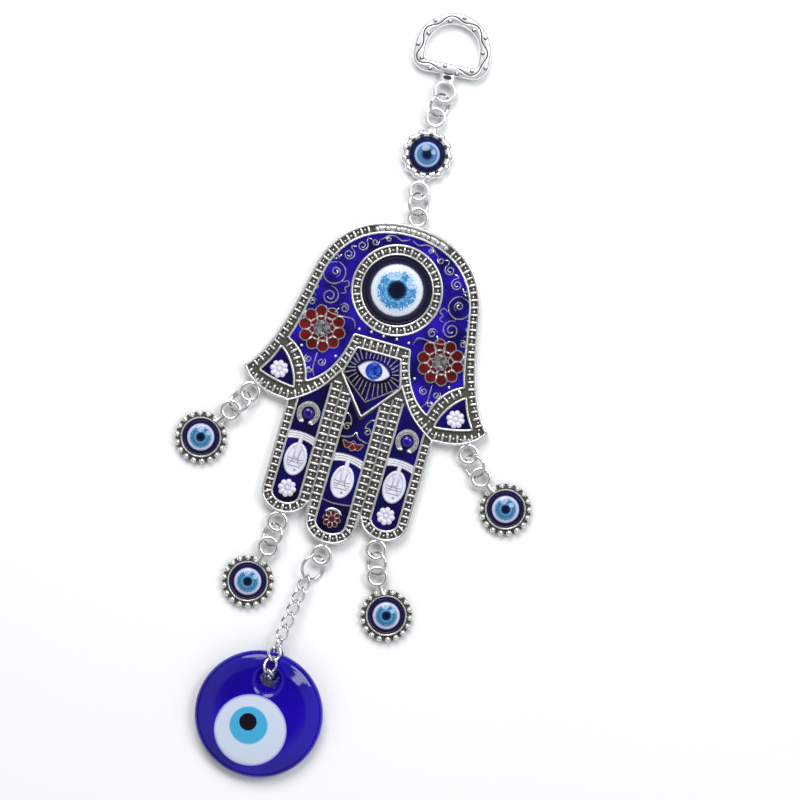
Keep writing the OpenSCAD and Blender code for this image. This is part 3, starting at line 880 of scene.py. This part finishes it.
def horseshoe(shape, enamel, x):
    """A raised horseshoe with a row of small bosses, about a domed disc of enamel."""
    centre = (x, -12.1)
    bow = arc(centre, 2.5, 2.7, -62, 242, 34)
    shape.wire(bow, 0.5, ENAMEL_TOP - 0.02, 0.6, False, 10, 0.9, False, 0.6)
    for p in resample(bow[1:-1], 1.25):
        shape.bead((*p, ENAMEL_TOP + 0.28), (0.17, 0.17, 0.17), 0, 6, 12, -30)
    for edge in (1.95, 3.05):
        shape.wire(arc(centre, edge, edge * 1.08, -58, 238, 30), 0.13, ENAMEL_TOP + 0.05, 1.2, sides=6)
    for end in (bow[0], bow[-1]):
        shape.bead((*end, ENAMEL_TOP), (0.66, 0.55, 0.5), 0, 7, 12, -10, 0.5)
    enamel.lathe([(0.01, ENAMEL_TOP + 0.4), (0.7, ENAMEL_TOP + 0.36), (1.3, ENAMEL_TOP + 0.2),
                  (1.65, ENAMEL_TOP - 0.15)], 32, centre)


def fish(shape, white, x, y):
    """A white fish below its draped tail: folds, stem, body's edge, gills, ribs and eye."""
    drape_y = y + 7.2
    t = np.linspace(-1, 1, 21)

    def fold(level, sag):
        return np.column_stack([x + 3.9 * t, level - sag * t**2 - 0.15 * t])

    for k in range(3):
        drape = fold(drape_y - 0.62 * k, 0.55 + 0.1 * k)
        white.wire(drape, 0.4, ENAMEL_TOP, 0.75, low=0)
    for k in range(4):
        drape = fold(drape_y + 0.32 - 0.62 * k, 0.5 + 0.1 * k)
        shape.wire(drape, 0.13, ENAMEL_TOP + 0.2, 1.2, sides=6, low=0.6)
    stem = resample(line((x, drape_y - 1), (x, y + 0.4)), 0.6)
    white.wire(stem, 0.62, ENAMEL_TOP, 0.9, sides=10, low=0)
    white.wire(arc((x, y), 2.6, 4.15, 0, 345, 23), 0.42, ENAMEL_TOP, 0.9, True, low=0)
    for side in (-1, 1):
        gill = arc((x + side * 1.55, y + 0.9), 0.85, 2.4, 0, 345, 23)
        shape.wire(gill, 0.1, ENAMEL_TOP + 0.1, 1.2, True, 6, 0.15)
    for k, level in enumerate((-0.1, -0.75, -1.9)):
        reach = 2.5 * math.sqrt(1 - (level / 4.6) ** 2)
        rib = np.column_stack([x + reach * t, y + level + (0.35 - 0.2 * k) * t**2])
        shape.wire(rib, 0.11, ENAMEL_TOP + 0.1, 1.2, False, 6, 0.15)
    eye = (x + 0.6, y - 2.9, ENAMEL_TOP)
    shape.bead(eye, (0.34, 0.34, 0.3), 0, 6, 10, -10, 1.5, top=0.5)


def flower_lines(shape, white, centre):
    """Rounded petals and middle of a small white flower, with fine lines between them."""
    for k, (out, between) in enumerate(zip(round_about(8), round_about(8, 0.5))):
        at = centre + out * 1.6
        white.bead((*at, ENAMEL_TOP - 0.05), (0.85, 0.62, 0.42), 45 * k, 6, 12, 0, 0)
        ray = centre + between * np.linspace(0.7, 2.0, 4)[:, None]
        shape.wire(ray, 0.1, ENAMEL_TOP + 0.05, 1.4, sides=6, low=0.6)
    white.bead((*centre, ENAMEL_TOP - 0.02), (0.62, 0.62, 0.5), 0, 6, 12, 0, 0)


def middle_finger_relief(shape, red):
    """Scroll pair, lotus, dividing line and red flower of the middle finger."""
    for flip in (1, -1):
        arm = smooth([(4.1, -8.9), (3.1, -9.3), (2.2, -10.6), (2.0, -11.8)]) * [flip, 1]
        relief_line(shape, arm, 0.27)
        relief_line(shape, spiral((2.85, -12.6), 1.2, 0.3, 150, -1.3) * [flip, 1], 0.25)
        foot = smooth([(0.1, -13.4), (0.8, -14.7), (2.2, -15.3), (3.9, -15.6)]) * [flip, 1]
        relief_line(shape, foot, 0.27)
    lotus = both_sides(line((0.01, -15.9), (0.9, -16.7), (3.0, -16.2), (2.5, -17.3), (1.9, -18.2),
                            (0.9, -18.1), (0.01, -18.8)))
    red.slab(resample(lotus, 0.5, True), ENAMEL_TOP - 0.2, ENAMEL_TOP + 0.05)
    relief_loop(shape, lotus, 0.5, 0.2)
    for x in (-1.1, 1.1):
        relief_line(shape, smooth([(0, -16.6), (x * 0.6, -17.4), (x, -18.1)]), 0.13)
    divide = smooth([(-4.1, -33.3), (-1.5, -33.7), (1.5, -33.6), (4.1, -33.2)])
    relief_line(shape, divide, 0.26, taper=False)
    flower = (0, -38)
    bow = arc(flower, 2.85, 2.85, 35, 145, 14)
    shape.wire(bow, 0.36, ENAMEL_TOP + 0.05, low=0, taper=True)
    for k in range(8):
        relief_loop(shape, petal(flower, 45 * k, 0.9, 2.5, 20), 0.3, 0.15)


def build_hand():
    """The casting with its relief, and the enamel that stands out of its cells."""
    casting = Shape()
    points, faces = hand_base()
    level = points[:, 2]
    casting.add(points, faces, np.where(level > 1, 1.0, 0.3))
    hand_bands(casting)
    hand_loops(casting)
    palm_scrolls(casting)
    big_flowers(casting)
    eye_panel_relief(casting)
    white, red, navy = Shape(), Shape(), Shape()
    for x, y in ((-FINGER_X, -25), (FINGER_X, -25), (0, -27.5)):
        fish(casting, white, x, y)
    for x in (-FINGER_X, FINGER_X):
        horseshoe(casting, navy, x)
        flower_lines(casting, white, (x, -33.2))
    for x in (-25, 25):
        flower_lines(casting, white, (x, -2.6))
    middle_finger_relief(casting, red)
    for flip in (1, -1):
        navy.lathe([(0.01, ENAMEL_LOW), (6.55, ENAMEL_LOW), (6.55, ENAMEL_TOP - 0.08),
                    (0.01, ENAMEL_TOP - 0.08)], 64, FLOWER * [flip, 1])
    casting.piece("hand_casting", cast_silver, "hand", "cast_silver", ["hand_plate"])
    white.piece("white_relief", white_enamel, "hand", "white_enamel")
    red.piece("lotus_enamel", red_enamel, "hand", "red_enamel")
    navy.piece("horseshoe_enamel", navy_enamel, "hand", "navy_enamel")


# --- domed eyes and stones


def dome_profile(r, wall, rise):
    """A cap of a ball over an upright wall, as (radius, height) points."""
    ball = (r * r + rise * rise) / (2 * rise)
    edge = math.degrees(math.asin(r / ball))
    a = np.radians(np.linspace(edge, 0.01, 14))
    top = np.column_stack([ball * np.sin(a), wall + rise - ball + ball * np.cos(a)])
    return np.vstack([[0.01, 0], [r - 0.1, 0], [r, 0.1], [r, wall], top[1:]])


def build_dome(node, body, wall, material):
    """A domed eye over an upright wall, in place of its CAD node."""
    r, height, place = seat_of(node)
    shape = Shape().lathe(dome_profile(r, wall, height - wall))
    shape.piece(node + "_dome", material, body, "eye_dome", [node], place, 60)


def gem_material(name, colours):
    """A foiled stone in its own colour with painted glints: each small cell is painted one of the
    colours, from dark to light, in place of the light that its facets throw back.
    """
    m = Nodes(name)
    m.set(Metallic=0.55, Roughness=0.08, Coat_Weight=1.0, Coat_Roughness=0.02)
    cell = m.new("ShaderNodeTexVoronoi", Scale=900.0)
    m.link(m.place(), cell.inputs["Vector"])
    split = m.new("ShaderNodeSeparateColor")
    m.link(cell.outputs["Color"], split.inputs["Color"])
    m.colour(m.ramp(split.outputs["Red"], colours))
    return m.material


def build_stone(node, slot, material):
    """A flat-back stone cut with a table and two rows of facets."""
    r, h, place = seat_of(node)
    # radius, height and turn in steps of each ring of corners
    levels = [(0.01, 0.0, 0), (r, 0.0, 0), (r, 0.35, 0), (r * 0.8, h * 0.62, 0.5),
              (r * 0.5, h, 0), (0.01, h, 0)]
    sides = 12
    points = []
    for radius, z, shift in levels:
        points.append(at_level(round_about(sides, shift) * radius, z))
    faces = []
    for i in range(len(levels) - 1):
        for j in range(sides):
            k = (j + 1) % sides
            a, b = i * sides + j, i * sides + k
            c, d = (i + 1) * sides + k, (i + 1) * sides + j
            faces += [(a, b, d), (b, c, d)]
    shape = Shape().add(np.vstack(points), faces)
    shape.piece(node + "_cut", material, "hand", slot, [node], place, 5)


# --- charms


CHARM_EYE_R = 5.0
CONNECTOR_EYE_R = 4.7
EYE_WALL = 0.6


def ring_of(count):
    """Angle in degrees and unit vector of each of a count of places round a charm."""
    return zip(np.degrees(bearings(count, 0.5)), round_about(count, 0.5))


def build_charm(name):
    """Plate, bezel about the eye, round beads with dark gaps, and the loop that faces the ring."""
    ring = joint_at(name + "_charm_swing")
    loop = 2 * ring - joint_at(name + "_ring_swing")
    reach, place = facing(middle(name + "_cabochon"), loop)
    shape = Shape()
    outer = CHARM_EYE_R + 0.55
    inner = CHARM_EYE_R + 0.02
    shape.lathe([(0.01, 0), (6.45, 0), (6.85, 0.15), (6.95, 0.5), (6.95, 1.2), (6.75, 1.5),
                 (outer, 1.6)], tarnish=[0.3, 0.3, 0.8, 1, 1, 1, 1])
    shape.lathe([(outer, 1.3), (outer, 2.35), (outer - 0.12, 2.62), (inner + 0.25, 2.72),
                 (inner + 0.1, 2.65), (inner, 2.4), (inner, 1.3)], tarnish=[1, 0.3, 0, 0, 0, 0.3, 1])
    bead_r = 0.84
    for angle, out in ring_of(18):
        shape.bead((*out * 6.5, 1.55), (bead_r, bead_r, bead_r * 1.02), angle, 10, 16, -70)
    add_loop(shape, (reach, 0))
    add_neck(shape, (reach - NECK_START, 0), (5.7, 0), 2.4)
    shape.piece(name + "_setting", cast_silver, name + "_charm", "cast_silver",
                [name + "_charm"], turned=place)
    build_dome(name + "_cabochon", name + "_charm", EYE_WALL, charm_eye)


def build_connector():
    """A scalloped setting with a dark pit inside each scallop, and a loop at each end."""
    reach, place = facing(middle("connector_cabochon"), joint_at("lower_ring_swing"))
    shape = Shape()
    inner = CONNECTOR_EYE_R + 0.02
    shape.lathe([(0.01, 0), (6.2, 0), (6.6, 0.2), (6.75, 0.8), (6.7, 1.6), (6.45, 2.25), (6.0, 2.6),
                 (5.5, 2.6), (5.1, 2.4), (inner, 2.0), (inner, 1.3)],
                tarnish=[0.3, 0.3, 0.2, 0, 0, 0, 0, 0, 0.3, 1, 1])
    for angle, out in ring_of(13):
        shape.bead((*out * 6.2, 1.75), (1.0, 1.25, 1.05), angle, 10, 16, -70, 0.3)
        shape.bead((*out * 5.45, 2.5), (0.55, 0.72, 0.2), angle, 6, 12, -10, top=1.0)
    for side in (1, -1):
        add_loop(shape, (side * reach, 0))
        add_neck(shape, (side * (reach - NECK_START), 0), (side * 6.3, 0), 2.6)
    shape.piece("connector_casting", hanger_silver, "connector", "cast_silver",
                ["connector_setting"], turned=place)
    build_dome("connector_cabochon", "connector", EYE_WALL, connector_eye)


# --- hanger


HANGER_LEAN = 5


def hanger_path():
    """Middle line of the D, in the hanger's own frame, from the foot's middle round to it."""
    r, arch_y, foot_y, corner = 8.95, 11.4, 6.4, 2.6
    return np.vstack([
        line((0.5, foot_y), (r - corner, foot_y)),
        arc((r - corner, foot_y + corner), corner, corner, -80, 0, 8),
        line((r, arch_y)),
        arc((0, arch_y), r, r, 4, 180, 44),
        arc((corner - r, foot_y + corner), corner, corner, 180, 260, 8),
        line((corner - r, foot_y), (-0.5, foot_y)),
    ])


def hanger_bar(shape, path):
    """A bar with rounded edges, an engraved wave along its top and a bead in each bay of it."""
    n = len(path)
    left = left_of(path, True)
    s = lengths(path)
    total = s[-1] + np.linalg.norm(path[0] - path[-1])
    waves = 7
    wave = 0.6 * np.sin(2 * np.pi * waves * s / total + 0.4)
    plain_foot = (np.abs(path[:, 0]) < 2.4) & (path[:, 1] < 8)
    # the section: its top from side to side in fine steps, and the rest in coarser ones
    half = np.array([1.65, 1.6])
    power = 3.2
    across = np.linspace(1.5, -1.5, 49)
    top = half[1] * (1 - (np.abs(across) / half[0]) ** power) ** (1 / power)
    a = np.radians(np.linspace(155, 385, 19))
    rest = full(np.column_stack([np.cos(a), np.sin(a)]), 2 / power) * half
    u, v = np.vstack([np.column_stack([across, top]), rest]).T
    groove = np.exp(-(((u - wave[:, None]) / 0.16) ** 2)) * (v > 0.6) * ~plain_foot[:, None]
    xy = path[:, None, :] + left[:, None, :] * u[None, :, None]
    z = half[1] + v - 0.2 * groove
    points = np.concatenate([xy, z[:, :, None]], 2).reshape(-1, 3)
    dark = np.clip(groove * 1.5, 0, 1) + np.where(v < -0.9, 0.15, 0)
    shape.add(points, skin(n, len(u), True, True), dark.reshape(-1))
    bead_z = 2 * half[1] - 0.02
    for k in range(2 * waves):
        i = int(np.argmin(np.abs(s - (k + 0.5) / (2 * waves) * total)))
        at = path[i] + left[i] * (-0.75 if wave[i] > 0 else 0.75)
        shape.bead((*at, bead_z), (0.44, 0.44, 0.4), 0, 8, 12, -30, 0.5)
        # painted shadow: a dark crescent round the lower side of each bead
        dark_line(shape, arc(at - [0, 0.06], 0.5, 0.5, 150, 390, 16), 0.13, bead_z, 0.5)


def build_hanger():
    """The D, its neck with an oval recess, and the loop."""
    shape = Shape()
    hanger_bar(shape, resample(hanger_path(), 0.3, True))
    neck = smooth([(0, 5.6), (0, 4.4), (0, 3.0), (0, 2.4)])
    shape.sweep(neck, full(round_about(16), 0.6) * [2.15, 1.05], False, z=1.75)
    oval = (0, 4.05)
    dark_line(shape, arc(oval, 1.05, 0.42, 0, 345, 23), 0.16, 2.82, 0.7, True)
    shape.slab(arc(oval, 1.0, 0.38, 0, 345, 23), 2.6, 2.83, 1.0)
    dark_line(shape, smooth([(-1.4, 5.3), (0, 5.0), (1.4, 5.3)]), 0.12, 3.2, 0.6)
    add_loop(shape, (0, 0), 2.7)
    at = joint_at("upper_ring_swing")
    shape.piece("hanger_casting", hanger_silver, "hanger", "cast_silver", ["hanger"],
                turned=placed((at[0], at[1], 0), HANGER_LEAN))


# --- glass eye


HOLE_AT = (-4.4, -84.2)
HOLE_TO_MIDDLE = 10.2
HOLE_R = 2.4
GLASS_R = 17.5
GLASS_EDGE_R = 2.1
GLASS_TILT = math.radians(4)
# the bead lies on its lower edge, which lifts its hole by this much
hole_lift = (HOLE_TO_MIDDLE + GLASS_R - GLASS_EDGE_R) * math.sin(GLASS_TILT)
glass_place = placed((*HOLE_AT, hole_lift)) @ Matrix.Rotation(GLASS_TILT, 4, "X")


def glass_front(points):
    """Height of the bead's front at points of its own frame."""
    r = np.hypot(points[:, 0], points[:, 1] + HOLE_TO_MIDDLE)
    return np.interp(r, [0, 4, 8, 10.5, 13, 15.4], [6.2, 6.12, 5.9, 5.65, 5.2, 4.4])


def build_glass():
    """The bead with its hole, and the coloured layers that lie level with its front."""
    steps = 96
    out = round_about(steps)
    centre = np.array([0, -HOLE_TO_MIDDLE])
    edge_r = GLASS_R - GLASS_EDGE_R
    rim = centre + out * edge_r
    hole = out * HOLE_R
    rows = []
    # the front from the hole to the rounded edge, the edge, the back, and the hole's wall
    for t in np.linspace(0, 1, 16) ** 0.9:
        ring = hole * (1 - t) + rim * t
        away = np.hypot(ring[:, 0], ring[:, 1])
        dip = 2.0 * np.exp(-((away - HOLE_R) / 0.9) ** 2)
        rows.append(at_level(ring, glass_front(ring) - dip))
    for angle in np.radians(np.linspace(80, -90, 13)):
        ring = centre + out * (edge_r + GLASS_EDGE_R * math.cos(angle))
        rows.append(at_level(ring, GLASS_EDGE_R + 0.1 + math.sin(angle) * GLASS_EDGE_R))
    for t in (0.5, 1.0):
        rows.append(at_level(rim * (1 - t) + hole * 1.1 * t, 0))
    for z in (0.5, 2.0):
        rows.append(at_level(hole, z))
    shape = Shape().add(np.vstack(rows), skin(len(rows), steps, True, True))
    shape.piece("glass_bead_body", cobalt, "glass_eye", "cobalt_glass", ["glass_bead"],
                glass_place, 60)
    # each layer's colour and its edge's, outer circle and inner circle: middle and radius
    layers = [
        ("white", (0.62, 0.71, 0.86), (0.30, 0.24, 0.70), (-1, -14.6), 9.9, (-1.8, -13.4), 5.25),
        ("sky", (0.06, 0.42, 0.72), (0.30, 0.56, 0.80), (-1.8, -13.4), 5.25, (-2.2, -12.5), 2.4),
        ("black", (0.004, 0.004, 0.008), (0.02, 0.08, 0.14), (-2.2, -12.5), 2.4, (-2.2, -12.5), 0.02),
    ]
    for k, (colour, inside, edge, at, r, inner_at, inner_r) in enumerate(layers):
        node = "glass_pupil" if colour == "black" else "glass_" + colour
        inner = inner_at + out * inner_r
        outer = at + out * r
        rings = []
        for t in np.linspace(0, 1, 14):
            ring = inner * (1 - t) + outer * t
            rings.append(at_level(ring, glass_front(ring) + (0.04 + 0.02 * k)))
        for ring in (at + out * (r + 0.05), inner):
            rings.append(at_level(ring, glass_front(ring) - 0.3))
        layer = Shape().add(np.vstack(rings), skin(len(rings), steps, True, True))
        layer.piece(node + "_disc", disc_glass(node + "_finish", at, r, inside, edge), "glass_eye",
                    colour + "_glass", [node], glass_place, 60)


# --- CAD nodes that are kept


def dress(node, material, smooth=False, subdivide=False):
    """A CAD node keeps its shape and takes a finish."""
    piece = frame["nodes"][node]
    piece.data.materials.clear()
    piece.data.materials.append(material)
    if smooth:
        weld = piece.modifiers.new("weld", "WELD")
        weld.merge_threshold = 1e-6
        piece.data.shade_smooth()
    if subdivide:
        finer = piece.modifiers.new("finer", "SUBSURF")
        finer.levels = 1
        finer.render_levels = 1


cobalt = glass("cobalt_glass", (0.02, 0.001, 0.66), (0.008, 0.0, 0.34), 0.4)
hand_eye = printed_eye("hand_eye", HAND_EYE_R, EYE_RINGS, 1.1)
charm_eye = printed_eye("charm_eye", CHARM_EYE_R, CHARM_RINGS, 0.8)
connector_eye = printed_eye("connector_eye", CONNECTOR_EYE_R, CONNECTOR_RINGS, 0.5)
# each stone's own colour, with light and dark cells as painted glints of its facets
grey_gem = gem_material("grey_stone", [(0.1, (0.10, 0.10, 0.10)), (0.5, (0.26, 0.26, 0.26)),
                                       (0.9, (0.60, 0.60, 0.60))])
blue_gem = gem_material("blue_stone", [(0.1, (0.01, 0.02, 0.45)), (0.5, (0.02, 0.07, 0.85)),
                                       (0.9, (0.05, 0.35, 0.95))])

# --- everything on the ornament


build_hand()
build_dome("eye_cabochon", "hand", 1.1, hand_eye)
build_stone("left_flower_stone", "grey_stone", grey_gem)
build_stone("right_flower_stone", "grey_stone", grey_gem)
build_stone("eye_stone", "blue_stone", blue_gem)
for charm in ("left_thumb", "right_thumb", "left_finger", "right_finger"):
    build_charm(charm)
build_connector()
build_hanger()
build_glass()
for node in frame["nodes"]:
    if node == "palm_enamel":
        dress(node, navy_enamel)
    elif node == "eye_panel_enamel" or node.endswith(("thumb_enamel", "finger_enamel")):
        dress(node, dark_enamel)
    elif node.endswith("flower_enamel") and not node.startswith("white"):
        dress(node, red_enamel)
    elif node in ("white_fish_enamel", "white_flower_enamel", "almond_enamel"):
        dress(node, white_enamel)
    elif node.endswith("_link") or node.startswith("chain_link"):
        dress(node, wire_silver, True, True)
    elif node.endswith("_ring"):
        dress(node, wire_silver, True)


# --- floor, light and camera


def build_floor():
    """A pale tabletop just under the ornament."""
    half = 1.5
    corners = [(-half, -half, 0), (half, -half, 0), (half, half, 0), (-half, half, 0)]
    mesh = bpy.data.meshes.new("floor")
    mesh.from_pydata(corners, [], [(0, 1, 2, 3)])
    floor = new_object("floor", mesh)
    m = Nodes("floor")
    m.set(Roughness=0.6)
    m.colour(m.ramp(m.noise(6, 2), [(0.3, (0.93, 0.95, 0.95)), (0.7, (0.95, 0.96, 0.96))]))
    mesh.materials.append(m.material)
    floor.location.z = -0.00005


def area_light(name, at, size, power, colour):
    """A round lamp that faces the ornament."""
    lamp = bpy.data.lights.new(name, "AREA")
    lamp.shape = "DISK"
    lamp.size = size
    lamp.energy = power
    lamp.color = colour
    holder = new_object(name, lamp)
    holder.location = at
    holder.rotation_euler = (-Vector(at)).to_track_quat("-Z", "Y").to_euler()


def build_world():
    """A studio with bright panels half-way up, and darker below them and overhead."""
    world = bpy.data.worlds.new("studio")
    bpy.context.scene.world = world
    world.use_nodes = True
    tree = world.node_tree
    back = tree.nodes["Background"]
    where = tree.nodes.new("ShaderNodeTexCoord")
    split = tree.nodes.new("ShaderNodeSeparateXYZ")
    ramp = tree.nodes.new("ShaderNodeValToRGB")
    # upward component of the direction, from straight down (0) to straight up (1), and brightness
    levels = [(0.0, 0.12), (0.40, 0.16), (0.54, 0.72), (0.84, 0.72), (0.94, 0.14), (1.0, 0.1)]
    stops = ramp.color_ramp.elements
    while len(stops) < len(levels):
        stops.new(0.5)
    for stop, (at, level) in zip(stops, levels):
        stop.position = at
        stop.color = (level * 0.98, level * 0.99, level, 1)
    tree.links.new(where.outputs["Generated"], split.inputs[0])
    tree.links.new(split.outputs["Z"], ramp.inputs["Fac"])
    tree.links.new(ramp.outputs["Color"], back.inputs["Color"])
    back.inputs["Strength"].default_value = 1.0


def build_camera():
    """Straight above, turned so that the ornament leans over to the right."""
    height = 1.2
    field = 0.2186
    camera = bpy.data.cameras.new("camera")
    camera.sensor_width = 36
    camera.lens = 36 * height / field
    camera.clip_start = 0.01
    camera.clip_end = 10
    holder = new_object("camera", camera)
    holder.location = (0.0090, -0.0017, height)
    holder.rotation_euler = (0, 0, math.radians(16))
    bpy.context.scene.camera = holder


# a view transform that keeps the floor's white and the enamel's deep blue
bpy.context.scene.view_settings.view_transform = "Standard"
build_floor()
build_world()
area_light("key", (-0.25, 0.60, 0.8), 0.6, 6.2, (1.0, 1.0, 1.0))
area_light("window", (0.42, 0.40, 0.85), 0.4, 3.0, (0.97, 0.99, 1.0))
build_camera()
